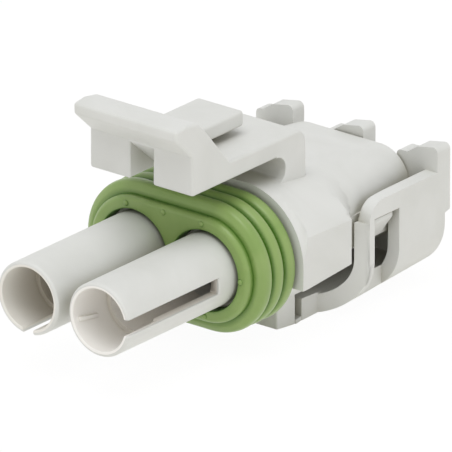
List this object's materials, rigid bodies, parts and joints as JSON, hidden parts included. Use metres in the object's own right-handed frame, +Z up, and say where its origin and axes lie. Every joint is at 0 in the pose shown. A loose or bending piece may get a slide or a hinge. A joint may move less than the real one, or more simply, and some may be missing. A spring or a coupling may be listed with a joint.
{
  "type": "sealed wire connector housing",
  "caption": "Moulded sealed connector half with contact towers, ribbed perimeter seal, flexing latch arm and hinged rear cover.",
  "frame": {"origin": "middle of the footprint, at the underside of the hinge foot", "axes": "-Y out of the contact towers towards the mating half, +Y towards the wires, +Z up towards the latch arm, X across the towers"},
  "size_m": [0.0222, 0.044, 0.0247],
  "materials": {
    "housing_plastic": "fine satin moulded surface, light warm grey",
    "seal_rubber": "smooth satin silicone, leaf green"
  },
  "bodies": {
    "housing": {"housing": "housing_plastic", "perimeter_seal": "seal_rubber", "catch_right": "housing_plastic", "catch_left": "housing_plastic", "hinge_web": "housing_plastic"},
    "latch_arm": {"latch_arm": "housing_plastic"},
    "rear_cover": {"rear_cover": "housing_plastic"}
  },
  "joints": [
    {"name": "latch_flex", "type": "hinge", "parent": "housing", "child": "latch_arm", "pos_m": [0, 0.0019, 0.0191], "axis": [-1, 0, 0], "range_deg": [0, 7], "stiffness_Nm_per_rad": 0.6},
    {"name": "cover_hinge", "type": "hinge", "parent": "housing", "child": "rear_cover", "pos_m": [0, 0.00485, 0.00023], "axis": [-1, 0, 0], "range_deg": [0, 100], "deforming": ["hinge_web", "catch_right", "catch_left"]}
  ]
}
